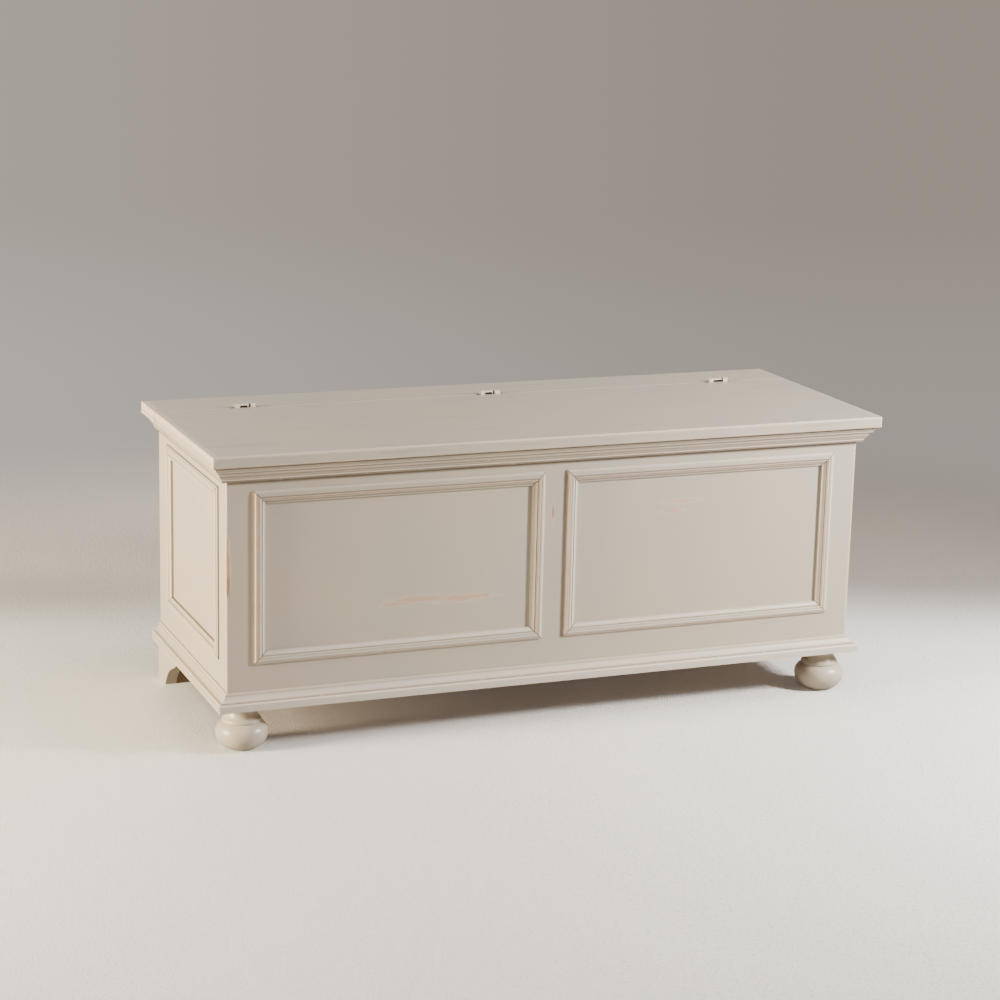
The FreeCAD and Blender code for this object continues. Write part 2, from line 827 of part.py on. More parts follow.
# Three butt hinges
numbered_places = list(enumerate(hinge_places, 1))
numbered_screws = list(enumerate(screw_places, 1))
pieces += [
    group("hinge_rail_leaves", [hinge_leaf(f"rail_leaf_{n}", x, False) for n, x in numbered_places]),
    group("hinge_lid_leaves", [hinge_leaf(f"lid_leaf_{n}", x, True) for n, x in numbered_places]),
    group("hinge_pins", [hinge_pin(f"pin_{n}", x) for n, x in numbered_places]),
    group("hinge_rail_screws", [hinge_screw(f"rail_screw_{n}", x, False) for n, x in numbered_screws]),
    group("hinge_lid_screws", [hinge_screw(f"lid_screw_{n}", x, True) for n, x in numbered_screws]),
]

# Checks before anything is written
doc.recompute()
for item in doc.Objects:
    if "Invalid" in item.State or "Error" in item.State:
        raise RuntimeError(f"{item.Label}: {item.State}")
    if item.TypeId == "PartDesign::Pocket" and not item.Shape.Volume < item.BaseFeature.Shape.Volume:
        raise RuntimeError(f"{item.Label} cuts nothing")
for piece in pieces:
    if piece.Shape.isNull() or not piece.Shape.isValid():
        raise RuntimeError(f"{piece.Label} has no valid shape")

os.makedirs("parts", exist_ok=True)
for piece in pieces:
    piece.Shape.exportStep(f"parts/{piece.Label}.step")
    solids, volume = len(piece.Shape.Solids), piece.Shape.Volume
    print(f"{piece.Label}: {solids} solid(s), {volume:.0f} mm3")
print(len(pieces), "pieces")
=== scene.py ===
import bpy
import bmesh
import math
from mathutils import Matrix, Vector


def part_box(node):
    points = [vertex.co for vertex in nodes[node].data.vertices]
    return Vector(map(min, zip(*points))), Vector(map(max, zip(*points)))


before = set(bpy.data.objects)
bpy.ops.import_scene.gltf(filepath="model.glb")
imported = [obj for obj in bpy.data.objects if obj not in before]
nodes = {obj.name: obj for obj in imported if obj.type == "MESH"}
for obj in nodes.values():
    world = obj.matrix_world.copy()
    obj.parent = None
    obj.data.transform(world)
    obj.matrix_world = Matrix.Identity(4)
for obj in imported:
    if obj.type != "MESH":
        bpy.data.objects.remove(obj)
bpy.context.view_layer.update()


# Camera and stage

view = {
    "place": (-1.61966, -3.98777, 1.38252),
    "right": (0.92988, -0.36716, 0.02279),
    "up": (0.06587, 0.22713, 0.97163),
    "forward": (0.36192, 0.90200, -0.23539),
    "lens": 91.07,
    "sensor": 36.0,
}

stage = {
    "floor": (252, 251, 250),
    "bounce": (176, 170, 163),   # as the light that it throws back sees it
    "back": ((223, 216, 210), (164, 156, 147)),          # behind the chest, left and right; the lighter left is painted light, the spill of the left lamp
    "hazeNear": ((200, 193, 183), (171, 162, 154)),      # what the camera sees beyond the floor
    "hazeFar": ((186, 176, 165), (160, 148, 138)),
    "paintedFloorGlow": (52, 50, 51),        # painted glow on the floor, seen by the camera only, lifting its lit and shaded parts alike
    "under": (134, 116, 99),     # painted shade on the floor beneath the chest's left end, standing in for its shadow
    "size": 120.0,
    "turn": -21.86,              # degrees, square to the camera
    "cameraAway": 4.3,           # metres in front of the middle of the chest
}


def linear(colour):  # colours are written as they look, 0 to 255
    shares = [c / 255 for c in colour]
    return tuple((c / 12.92 if c < 0.04045 else ((c + 0.055) / 1.055) ** 2.4) for c in shares) + (1.0,)


def makeCamera():
    lensData = bpy.data.cameras.new("camera")
    camera = bpy.data.objects.new("camera", lensData)
    bpy.context.scene.collection.objects.link(camera)
    columns = [Vector(view["right"]), Vector(view["up"]), -Vector(view["forward"])]
    turn = Matrix(columns).transposed().to_4x4()
    camera.matrix_world = Matrix.Translation(view["place"]) @ turn
    lensData.lens = view["lens"]
    lensData.sensor_width = view["sensor"]
    lensData.sensor_height = view["sensor"]
    bpy.context.scene.camera = camera


def makeObject(name, mesh, material):
    piece = bpy.data.objects.new(name, mesh)
    bpy.context.scene.collection.objects.link(piece)
    mesh.materials.append(material)
    return piece


# Shader maths: a Wire is one socket, and sums on wires add Math nodes

class Wire:
    def __init__(self, finish, socket):
        self.finish = finish
        self.socket = socket

    def __add__(self, other):
        return self.finish.maths("ADD", self, other)

    def __radd__(self, other):
        return self.finish.maths("ADD", other, self)

    def __sub__(self, other):
        return self.finish.maths("SUBTRACT", self, other)

    def __rsub__(self, other):
        return self.finish.maths("SUBTRACT", other, self)

    def __mul__(self, other):
        return self.finish.maths("MULTIPLY", self, other)

    def __truediv__(self, other):
        return self.finish.maths("DIVIDE", self, other)

    def __abs__(self):
        return self.finish.maths("ABSOLUTE", self)


class Finish:
    def __init__(self, name):
        self.material = bpy.data.materials.new(name)
        self.material.use_nodes = True
        self.tree = self.material.node_tree
        self.tree.nodes.clear()
        self.place = self.node("ShaderNodeTexCoord", output="Object")
        parts = self.node("ShaderNodeSeparateXYZ", sockets={0: self.place}).socket.node
        self.x = Wire(self, parts.outputs[0])
        self.y = Wire(self, parts.outputs[1])
        self.z = Wire(self, parts.outputs[2])

    def node(self, kind, settings=None, sockets=None, output=0):
        made = self.tree.nodes.new(kind)
        for key, value in (settings or {}).items():
            setattr(made, key, value)
        for key, value in (sockets or {}).items():
            if isinstance(value, Wire):
                self.tree.links.new(value.socket, made.inputs[key])
            else:
                made.inputs[key].default_value = value
        return Wire(self, made.outputs[output])

    def maths(self, operation, *values):
        return self.node("ShaderNodeMath", {"operation": operation}, dict(enumerate(values)))

    def vector(self, operation, first, second, output=0):
        return self.node("ShaderNodeVectorMath", {"operation": operation}, {0: first, 1: second}, output)

    def least(self, first, second):
        return self.maths("MINIMUM", first, second)

    def most(self, first, second):
        return self.maths("MAXIMUM", first, second)

    def largest(self, values):  # None for an empty list
        level = None
        for value in values:
            level = value if level is None else self.most(level, value)
        return level

    def fade(self, value, start, end):  # 0 at start, 1 at end, with soft shoulders
        settings = {"interpolation_type": "SMOOTHSTEP"}
        if start > end:
            return 1 - self.node("ShaderNodeMapRange", settings, {0: value, 1: end, 2: start})
        return self.node("ShaderNodeMapRange", settings, {0: value, 1: start, 2: end})

    def noise(self, scale, detail=3.0, rough=0.5, stretch=(1, 1, 1), shift=(0, 0, 0)):
        spot = self.vector("MULTIPLY", self.vector("ADD", self.place, shift), stretch)
        sockets = {"Vector": spot, "Scale": scale, "Detail": detail, "Roughness": rough}
        return self.node("ShaderNodeTexNoise", {}, sockets)

    def mix(self, factor, first, second):
        return self.node("ShaderNodeMix", {"data_type": "RGBA"}, {0: factor, 6: first, 7: second}, 2)

    def strip(self, value, start, end, low=0.0006, high=0.0008):  # 1 from start to end, faded outside
        return self.fade(value, start - low, start) * self.fade(value, end + high, end)

    def away(self, at, size):  # distance from a point, in shares of the size along each axis
        shares = tuple(1 / side if side else 0 for side in size)
        spread = self.vector("MULTIPLY", self.vector("SUBTRACT", self.place, at), shares)
        return self.vector("LENGTH", spread, (0, 0, 0), 1)

    def lineDistance(self, axis, at):  # distance from a straight edge that runs along one axis
        flat = {"x": (0, 1, 1), "y": (1, 0, 1), "z": (1, 1, 0)}[axis]
        return self.vector("DISTANCE", self.vector("MULTIPLY", self.place, flat), at, 1)

    def shade(self, colour, roughness, height, depth, sockets=None):
        bump = self.node("ShaderNodeBump", {}, {"Height": height, "Distance": depth, "Strength": 1.0})
        given = {"Base Color": colour, "Roughness": roughness, "Normal": bump, **(sockets or {})}
        surface = self.node("ShaderNodeBsdfPrincipled", {}, given)
        end = self.tree.nodes.new("ShaderNodeOutputMaterial")
        self.tree.links.new(surface.socket, end.inputs[0])


def makeStage():
    finish = Finish("floor")
    turn = math.radians(stage["turn"])
    depth = finish.y * math.cos(turn) - finish.x * math.sin(turn)
    aside = finish.x * math.cos(turn) + finish.y * math.sin(turn)
    dim = linear(stage["back"][1])
    # Painted light: the floor behind the chest lighter towards the left, where the left lamp spills
    back = finish.mix(finish.fade(aside, -0.9, 0.5), *map(linear, stage["back"]))
    farther = depth + finish.fade(aside, 0.1, 0.9) * 0.1
    colour = finish.mix(finish.fade(farther, 0.39, 0.89), linear(stage["floor"]), back)
    # Painted shade: a soft dark band across the floor on the left, behind the chest
    paintedCreaseShade = finish.fade(abs(depth - 0.52), 0.32, 0.0) * finish.fade(aside, -0.2, -0.9)
    colour = finish.mix(paintedCreaseShade * 0.6, colour, dim)
    colour = finish.mix(finish.noise(2.2, 3) * 0.03, colour, dim)
    # Painted shade: the floor beneath the chest's left end darkened, in place of a shadow the lamps leave
    # too light
    under = finish.fade(finish.x, -0.56, -0.49) * finish.fade(finish.x, 0.15, -0.4)
    under = under * finish.fade(abs(finish.y), 0.2, 0.13)
    colour = finish.mix(under * 0.68, colour, linear(stage["under"]))
    rays = finish.node("ShaderNodeLightPath").socket.node.outputs
    direct = Wire(finish, rays["Is Camera Ray"])
    colour = finish.mix(direct, linear(stage["bounce"]), colour)
    felt = finish.noise(260, 3, 0.7)
    pills = finish.fade(finish.noise(150, 4, 0.75, shift=(2.3, 0.4, 0)), 0.52, 0.72)
    colour = finish.mix(pills * 0.07, colour, dim)
    # Painted light: the floor glows faintly for the camera
    paintedFloorGlow = finish.mix(direct, (0, 0, 0, 1), linear(stage["paintedFloorGlow"]))
    glow = {"Emission Color": paintedFloorGlow, "Emission Strength": 1.0}
    finish.shade(colour, 0.8 + felt * 0.1, felt + pills * 0.4, 0.003, glow)
    surface = finish.tree.nodes["Principled BSDF"]
    ahead = finish.fade(depth, -3.4, -2.0)
    slant = aside / finish.most(depth + stage["cameraAway"], 0.5)
    bearing = finish.fade(slant, -0.32, 0.15)
    bearing = bearing * ahead + (1 - ahead) * 0.5
    near, far = (finish.mix(bearing, *map(linear, stage[name])) for name in ("hazeNear", "hazeFar"))
    haze = finish.node("ShaderNodeEmission", {}, {"Color": finish.mix(finish.fade(depth, 2, 7), near, far)})
    seen = finish.most(direct, Wire(finish, rays["Is Glossy Ray"]))
    reach = finish.vector("LENGTH", finish.place, (0, 0, 0), 1)
    share = finish.fade(reach, 1.3, 2.4) * seen
    blend = finish.node("ShaderNodeMixShader", {}, {0: share, 1: Wire(finish, surface.outputs[0]), 2: haze})
    finish.tree.links.new(blend.socket, finish.tree.nodes["Material Output"].inputs[0])
    shell = bmesh.new()
    bmesh.ops.create_grid(shell, x_segments=8, y_segments=8, size=stage["size"] / 2)
    mesh = bpy.data.meshes.new("floor")
    shell.to_mesh(mesh)
    shell.free()
    makeObject("floor", mesh, finish.material)


lamps = {
    "rightBox": {"place": (1.6, -1.1, 1.08), "aim": (0.1, -0.1, 0.25), "size": (0.27, 0.39),
                 "power": 90, "colour": (255, 250, 242)},
    "overhead": {"place": (0.5, -0.6, 2.6), "aim": (0.1, -0.1, 0.2), "size": (1.6, 1.2),
                 "power": 24, "colour": (248, 248, 255)},
    "leftBox": {"place": (-3.2, -0.24, 0.8), "aim": (-0.6, 0, 0.35), "size": (0.8, 0.8),
                "power": 280, "colour": (255, 237, 203)},
    "rearBox": {"place": (-0.4, 3.6, 2.6), "aim": (0, 0.2, 0.2), "size": (1.6, 1.2),
                "power": 35, "colour": (255, 251, 246)},
}
worldLight = {"colour": (255, 252, 248), "strength": 0.1}


def makeLights():
    for name, lamp in lamps.items():
        data = bpy.data.lights.new(name, "AREA")
        data.shape = "RECTANGLE"
        data.size, data.size_y = lamp["size"]
        data.energy = lamp["power"]
        data.color = linear(lamp["colour"])[:3]
        light = bpy.data.objects.new(name, data)
        bpy.context.scene.collection.objects.link(light)
        toward = Vector(lamp["aim"]) - Vector(lamp["place"])
        turn = toward.to_track_quat("-Z", "Y").to_matrix().to_4x4()
        light.matrix_world = Matrix.Translation(lamp["place"]) @ turn
    world = bpy.data.worlds.new("studio")
    world.use_nodes = True
    tree = world.node_tree
    sky = tree.nodes["Background"]
    sky.inputs["Color"].default_value = linear(worldLight["colour"])
    sky.inputs["Strength"].default_value = worldLight["strength"]
    haze = tree.nodes.new("ShaderNodeBackground")
    haze.inputs["Color"].default_value = linear(stage["hazeFar"][1])
    rays = tree.nodes.new("ShaderNodeLightPath")
    seen = tree.nodes.new("ShaderNodeMath")
    seen.operation = "MAXIMUM"
    both = tree.nodes.new("ShaderNodeMixShader")
    tree.links.new(rays.outputs["Is Camera Ray"], seen.inputs[0])
    tree.links.new(rays.outputs["Is Glossy Ray"], seen.inputs[1])
    tree.links.new(seen.outputs[0], both.inputs[0])
    tree.links.new(sky.outputs[0], both.inputs[1])
    tree.links.new(haze.outputs[0], both.inputs[2])
    tree.links.new(both.outputs[0], tree.nodes["World Output"].inputs[0])
    bpy.context.scene.world = world


makeCamera()
makeStage()
makeLights()
print("stage, camera and lights set")


# Painted wood: grey-beige paint over a pinkish undercoat, rubbed through to pine on the arrises

paint = {
    "coat": (191, 181, 167),
    "cool": (187, 179, 167),
    "warm": (194, 182, 163),
    "undercoat": (222, 205, 188),
    "wood": (200, 146, 108),
    "glazeAndShade": (128, 108, 88),
    # line: the dark colour of joints, knots and of painted shade in creases, gaps and under overhangs
    "line": (86, 68, 52),
    # light: the colour of painted highlights
    "light": (222, 216, 207),
    "pine": (210, 188, 156),
    "pineDark": (190, 160, 122),
    "pores": (150, 108, 70),
    "strokes": (206, 200, 190),
    "dust": (150, 132, 110),
    "roughness": 0.42,
}
grains = {"x": (0.05, 1, 1), "y": (1, 0.05, 1), "z": (1, 1, 0.05)}  # noise drawn out along the wood
brushRelief = 0.00025  # metres, height of the brush marks


def pineColour(finish, along):
    warp = finish.noise(7, 2, 0.5, along)
    rings = finish.noise(34, 3, 0.55, along)
    lines = finish.maths("SINE", (rings * 9 + warp * 5) * math.tau) * 0.5 + 0.5
    pores = finish.noise(700, 2, 0.6, along)
    colour = finish.mix(lines * 0.55, linear(paint["pine"]), linear(paint["pineDark"]))
    return finish.mix(finish.fade(pores, 0.55, 0.75) * 0.25, colour, linear(paint["pores"])), lines


def paintedWood(name, grain, rubs=(), scuffs=(), bands=None, glazeAndShade=None, inside=None, relief=None,
                light=None, strokes=1.0, bareShare=0.3, paleShare=0.8, roughness=paint["roughness"]):
    finish = Finish(name)
    along = grains[grain]
    clouds = finish.noise(4.5, 2)
    mottle = finish.noise(31, 4, 0.6)
    brush = finish.noise(330, 3, 0.62, along)
    veins = finish.noise(90, 4, 0.65, along)
    colour = finish.mix(finish.fade(clouds, 0.3, 0.7), linear(paint["cool"]), linear(paint["warm"]))
    colour = finish.mix(finish.fade(mottle, 0.35, 0.7) * 0.35, colour, linear(paint["coat"]))
    colour = finish.mix(finish.fade(veins, 0.56, 0.72) * 0.10 * strokes, colour, linear(paint["glazeAndShade"]))
    colour = finish.mix(finish.fade(brush, 0.55, 0.8) * 0.10 * strokes, colour, linear(paint["glazeAndShade"]))
    colour = finish.mix(finish.fade(brush, 0.45, 0.25) * 0.18 * strokes, colour, linear(paint["strokes"]))
    patchy = finish.noise(7, 2, 0.5, shift=(3.1, 1.7, 0.4))
    ragged = finish.noise(85, 4, 0.65, shift=(0.7, 5.2, 2.1))
    wild = patchy * 1.1 + ragged * 0.9 - 0.15
    levels = []
    for rub in rubs:
        amount = rub["amount"]
        if "reach" in rub:
            start, end = rub["reach"]
            spot = getattr(finish, rub["axis"])
            amount = finish.strip(spot, start, end, rub["soft"], rub["soft"]) * amount
        levels.append(wild * amount - finish.lineDistance(rub["axis"], rub["at"]) / rub["width"])
    for scuff in scuffs:
        torn = finish.noise(scuff.get("scale", 55), 4, 0.6, scuff.get("stretch", along))
        levels.append(torn * 2 * scuff["amount"] - finish.away(scuff["at"], scuff["size"]))
    if bands:
        levels.append(bands(finish, wild))
    level = finish.largest(levels)
    height = brush * 0.35 + mottle * 0.1
    rough = roughness + brush * 0.08
    if level is not None:
        pale = finish.fade(level, 0.0, 0.4)
        bare = finish.fade(level, 0.5, 0.95)
        colour = finish.mix(pale * paleShare, colour, linear(paint["undercoat"]))
        colour = finish.mix(bare * bareShare, colour, linear(paint["wood"]))
        height = height - pale * 0.35
        rough = rough + bare * 0.15
    # Painted highlights where the lamps would catch arrises and faces
    if light:
        colour = finish.mix(light(finish, ragged), colour, linear(paint["light"]))
    # Painted shade, with dark joints, knots and crevices, mixed toward the dark line colour
    if glazeAndShade:
        colour = finish.mix(glazeAndShade(finish, ragged), colour, linear(paint["line"]))
    if inside:
        where = inside(finish, ragged)
        colour = finish.mix(where, colour, pineColour(finish, along)[0])
        rough = rough + where * 0.15
    height = height * brushRelief
    if relief:
        height = height + relief(finish)
    finish.shade(colour, rough, height, 1.0)
    return finish.material


def bareWood(name, grain, paintedShadeTone=None):
    finish = Finish(name)
    along = grains[grain]
    colour, lines = pineColour(finish, along)
    saw = finish.noise(500, 2, 0.6, along)
    dust = finish.noise(12, 3)
    colour = finish.mix(finish.fade(dust, 0.5, 0.8) * 0.2, colour, linear(paint["dust"]))
    # Painted shade: the wood darkened toward the given tone where it stands in shade
    if paintedShadeTone:
        colour = finish.mix(0.7, colour, linear(paintedShadeTone))
    finish.shade(colour, 0.68 + saw * 0.12, saw * 0.6 + lines * 0.25, 0.0003)
    return finish.material


def metal(name, colour, stain, metallic, rough, dark=None):
    finish = Finish(name)
    spots = finish.noise(420, 3, 0.6)
    wide = finish.noise(90, 3)
    mixed = finish.mix(finish.fade(spots, 0.5, 0.75) * 0.5, linear(colour), linear(stain))
    # dark: a mask of painted shade in slots and gaps, mixed toward near black
    if dark:
        mixed = finish.mix(dark(finish), mixed, linear((38, 30, 22)))
    shine = finish.fade(spots, 0.62, 0.8) * (1 - metallic) + metallic
    finish.shade(mixed, rough + wide * 0.18, spots, 0.00008, {"Metallic": shine})
    return finish.material


# Where the pieces stand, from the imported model

lidLow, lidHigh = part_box("lid_board")
lidBack = lidHigh.y
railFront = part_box("hinge_rail")[0].y
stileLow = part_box("front_stile_left")[0]
frameLow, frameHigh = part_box("front_right_moulding_top")
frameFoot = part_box("front_right_moulding_bottom")[0].z
panelFrame = {"in": frameLow.x, "out": frameHigh.x, "low": frameFoot, "high": frameHigh.z}
frameLow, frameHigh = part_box("left_side_moulding_top")
sideFrame = {"front": frameLow.y, "back": frameHigh.y, "low": frameFoot, "high": panelFrame["high"]}
corniceLow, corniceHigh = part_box("lid_cornice_front")
baseLow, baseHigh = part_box("base_moulding_front")
frontFace = stileLow.y
sideFace = -stileLow.x
wall = 0.02           # thickness of the boards
wallEdge = 0.0005     # half the width over which paint gives way to bare pine

pinLow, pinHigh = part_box("hinge_pins")
pin = (pinLow + pinHigh) / 2
hinges = [-0.4415, 0.011, 0.4635]
hingeEnd = 0.0186     # half the length of a hinge
notchEnd = 0.0226     # half the length of its notch
screwSpread = 0.012   # from the middle of a hinge to each screw
screwHeight = pin.z - 0.011
# Along each hinge: start and end of the slot's painted shade, and the painted dark spot of shade beside it
slotSpans = [(-0.0095, 0.003, 0.0075), (-0.0105, 0.0022, 0.0060), (-0.0102, 0.0058, 0.0078)]


def hingeSlot(finish):  # painted shade in the gap before the middle knuckle, in a spot beside it and at the hinge's left end
    shades = []
    for centre, (start, end, dot) in zip(hinges, slotSpans):
        at = finish.x - centre
        gap = finish.strip(at, start, end, 0.0006, 0.0006)
        gap = gap * finish.fade(finish.z, pin.z + 0.0009, pin.z + 0.0003)
        spot = finish.fade(abs(at - dot), 0.0022, 0.0013)
        spot = spot * finish.fade(finish.y, pin.y - 0.0004, pin.y - 0.0014)
        rim = finish.fade(abs(at + hingeEnd), 0.0008, 0.0004) * 0.8
        shades += [gap, spot, rim]
    return finish.largest(shades) * finish.fade(finish.y, pin.y + 0.0002, pin.y - 0.0006)


def screwSlot(finish):  # drive slots of the hinge screws, drawn as painted shade
    grooves = []
    for spot in [centre + side * screwSpread for centre in hinges for side in (-1, 1)]:
        aside = abs(finish.x - spot)
        down = abs(finish.z - screwHeight)
        grooves.append(finish.fade(down, 0.00045, 0.0003) * finish.fade(aside, 0.0024, 0.0021))
    return finish.largest(grooves)


def jointGapShade(finish):  # band along the joint between lid and hinge rail, where the shade in its gap is painted at the ends
    return finish.fade(abs(finish.y - (lidBack + railFront) / 2), 0.0024, 0.0012)


def lidTop(finish):
    return finish.fade(finish.z, lidHigh.z - 0.002, lidHigh.z - 0.001)


lidKnot = (0.5009, 0.0665, lidHigh.z)


def lidStainAndShade(finish, ragged):  # painted shade in the hinge notches, in the joint's gap and at its ends, and at the foot of the front edge; the knot and the seam are the wood's own
    notches = []
    for centre in hinges:
        at = abs(finish.x - centre)
        beside = finish.fade(at, 0.06, 0.025) * 0.5 * finish.fade(ragged, 0.3, 0.6)
        notches.append(finish.fade(at, 0.0250, notchEnd) + beside)
    joint = finish.fade(finish.y, lidBack - 0.0056, lidBack - 0.0053)
    joint = joint * finish.fade(finish.y, railFront + 0.0006, railFront + 0.0003)
    walls = finish.least(finish.largest(notches), 1.0) * joint
    foot = finish.fade(finish.z, lidLow.z + 0.0022, lidLow.z + 0.001)
    foot = foot * finish.fade(finish.y, lidLow.y + 0.002, lidLow.y + 0.001) * 0.45
    dark = finish.fade(finish.away(lidKnot, (0.0055, 0.004, 0)), 1.1, 0.3) * 0.35
    seam = finish.strip(finish.y, railFront, railFront + 0.002, 0.0004, 0.0018)
    dark = finish.most(dark, seam * 0.3) * lidTop(finish)
    ends = jointGapShade(finish) * finish.fade(abs(finish.x), lidHigh.x - 0.003, lidHigh.x - 0.001) * 0.6
    dark = finish.most(dark, ends)
    for centre in hinges:
        spot = finish.away((centre - 0.0246, lidBack - 0.003, 0), (0.0034, 0.006, 0))
        dark = finish.most(dark, finish.fade(spot, 1.2, 0.5) * 0.85)
    return finish.most(finish.most(walls, foot), dark)


def lidPaintedHighlight(finish, ragged):  # painted highlight on the lid's arris before the joint
    edge = finish.strip(finish.y, lidBack - 0.0050, lidBack + 0.0002, 0.0018, 0.0004)
    return edge * lidTop(finish) * 0.45


lidRubs = [
    {"axis": "x", "at": (0, lidLow.y, lidHigh.z), "amount": 0.95, "width": 0.0058},
    {"axis": "x", "at": (0, lidLow.y, lidLow.z), "amount": 0.9, "width": 0.005},
    {"axis": "y", "at": (lidLow.x, 0, lidHigh.z), "amount": 1.1, "width": 0.012},
    {"axis": "y", "at": (lidHigh.x, 0, lidHigh.z), "amount": 0.95, "width": 0.0065},
    {"axis": "y", "at": (lidLow.x, 0, lidLow.z), "amount": 0.85, "width": 0.005},
    {"axis": "z", "at": (lidLow.x, lidLow.y, 0), "amount": 1.0, "width": 0.005},
    {"axis": "z", "at": (lidHigh.x, lidLow.y, 0), "amount": 1.0, "width": 0.005},
]
leftCorner = (-sideFace, frontFace, 0)  # rubbed most about 0.3 m up
cornerRubs = [
    {"axis": "z", "at": leftCorner, "amount": 0.6, "width": 0.004},
    {"axis": "z", "at": leftCorner, "amount": 1.55, "width": 0.0062, "reach": (0.275, 0.355), "soft": 0.03},
    {"axis": "z", "at": leftCorner, "amount": 2.4, "width": 0.0042, "reach": (0.28, 0.33), "soft": 0.02},
    {"axis": "z", "at": (sideFace, frontFace, 0), "amount": 0.9, "width": 0.0045},
]
knot = (-0.004, frontFace, 0.366)  # in the muntin
streaks = {"scale": 150, "stretch": (0.22, 1, 1)}
frontScuffs = [
    {"at": (-0.278, frontFace, 0.2285), "size": (0.030, 0.02, 0.0045), "amount": 1.3, **streaks},
    {"at": (-0.236, frontFace, 0.2345), "size": (0.052, 0.02, 0.0055), "amount": 1.45, **streaks},
    {"at": (-0.156, frontFace, 0.2302), "size": (0.045, 0.02, 0.0062), "amount": 1.6, **streaks},
    {"at": (-0.119, frontFace, 0.2337), "size": (0.017, 0.02, 0.0052), "amount": 1.35, **streaks},
    {"at": (-0.114, frontFace, 0.2735), "size": (0.014, 0.02, 0.0025), "amount": 1.2},
    {"at": (0.236, frontFace, 0.3695), "size": (0.034, 0.02, 0.0055), "amount": 1.3, **streaks},
    {"at": (0.222, frontFace, 0.353), "size": (0.028, 0.02, 0.0045), "amount": 1.25, **streaks},
    {"at": knot, "size": (0.0036, 0.02, 0.020), "amount": 1.6},
]


def profileEdges(low, high, out, spots):  # spots: share out, share up, amount of wear, width in metres
    return [(out * share, low + (high - low) * up, amount, width) for share, up, amount, width in spots]


corniceEdges = profileEdges(corniceLow.z, corniceHigh.z, frontFace - corniceLow.y, [
    (0.84, 0.64, 0.75, 0.0028), (0.62, 0.44, 0.8, 0.003), (0.4, 0.15, 0.7, 0.0025), (0.39, 0, 0.7, 0.0025)])
endBaseEdges = profileEdges(baseLow.z, baseHigh.z, frontFace - baseLow.y, [
    (0.06, 1, 0.9, 0.003), (0.17, 0.9, 0.8, 0.003), (0.74, 0.5, 0.95, 0.0035),
    (0.95, 0.43, 0.8, 0.003), (1, 0, 0.8, 0.003)])
baseEdges = profileEdges(baseLow.z, baseHigh.z, frontFace - baseLow.y, [
    (0.06, 1, 0.4, 0.0025), (0.17, 0.9, 0.4, 0.003), (0.74, 0.5, 0.85, 0.003),
    (0.95, 0.43, 0.7, 0.003), (1, 0, 0.7, 0.003)])


def edgeRubs(edges, sideways):
    rubs = []
    for out, height, amount, width in edges:
        if sideways:
            places = [(side * (sideFace + out), 0, height) for side in (-1, 1)]
        else:
            places = [(0, frontFace - out, height)]
        for place in places:
            rubs.append({"axis": "y" if sideways else "x", "at": place, "amount": amount, "width": width})
    return rubs


def strips(finish, along, spans):  # spans: from, to, amount
    return finish.largest([finish.strip(along, start, end) * amount for start, end, amount in spans])


def mouldingBands(sideways, spans):
    def bands(finish, wild):
        return strips(finish, across(finish, sideways), spans) * (wild * 0.7 + 0.3)
    return bands


# Painted highlights along the moulding's lit bands
def mouldingPaintedHighlight(sideways, spans):
    def light(finish, ragged):
        return strips(finish, across(finish, sideways), spans) * finish.fade(ragged, 0.1, 0.5)
    return light


def across(finish, sideways):  # distance in from the outer edge of the moulding frame
    first, second = corners(finish, sideways)
    return finish.least(first, second)


def corners(finish, sideways):
    if sideways:
        first = finish.least(finish.y - sideFrame["front"], sideFrame["back"] - finish.y)
    else:
        first = finish.least(abs(finish.x) - panelFrame["in"], panelFrame["out"] - abs(finish.x))
    second = finish.least(finish.z - panelFrame["low"], panelFrame["high"] - finish.z)
    return first, second


# Painted shade in the moulding's quirks, at its foot and on its outer side, darker crevices, and the dark
# mitre joints
def mouldingJointsAndShade(sideways, spans):
    def glazeAndShade(finish, ragged):
        first, second = corners(finish, sideways)
        lines = strips(finish, finish.least(first, second), spans)
        mitre = finish.fade(abs(first - second), 0.0014, 0.0006) * 0.8
        return finish.most(lines, mitre) * finish.fade(ragged, 0.08, 0.42)
    return glazeAndShade


def mouldingRelief(sideways):  # fills the hollow to a broad round
    def relief(finish):
        return finish.fade(abs(across(finish, sideways) - 0.0080), 0.0046, 0.0) * 0.0009
    return relief


# Darker along the panel's edge next to the moulding
def panelEdgeDarkening(sideways):
    def glazeAndShade(finish, ragged):
        return finish.fade(across(finish, sideways), 0.0235, 0.0217) * 0.15
    return glazeAndShade


# Painted shade in the steps of the base's profile, and the dark joint along its top
def baseJointsAndShade(finish, ragged):
    lines = strips(finish, finish.z - baseLow.z, [
        (0.0138, 0.0152, 0.6), (0.0247, 0.0255, 0.25), (0.0285, 0.03, 0.3)])
    return lines * finish.fade(ragged, 0.2, 0.5)


# Painted highlight on the base's fascia and upper round
def basePaintedHighlight(finish, ragged):
    return strips(finish, finish.z - baseLow.z, [(0.0012, 0.0126, 0.5), (0.0172, 0.0230, 0.25)])


# Painted shade in the steps of the end base's profile, and the dark joint along its top
def endBaseJointsAndShade(finish, ragged):
    lines = strips(finish, finish.z - baseLow.z, [
        (0.0100, 0.0110, 0.4), (0.0140, 0.0152, 0.7), (0.0247, 0.0257, 0.5)])
    return lines * finish.fade(ragged, 0.15, 0.45)


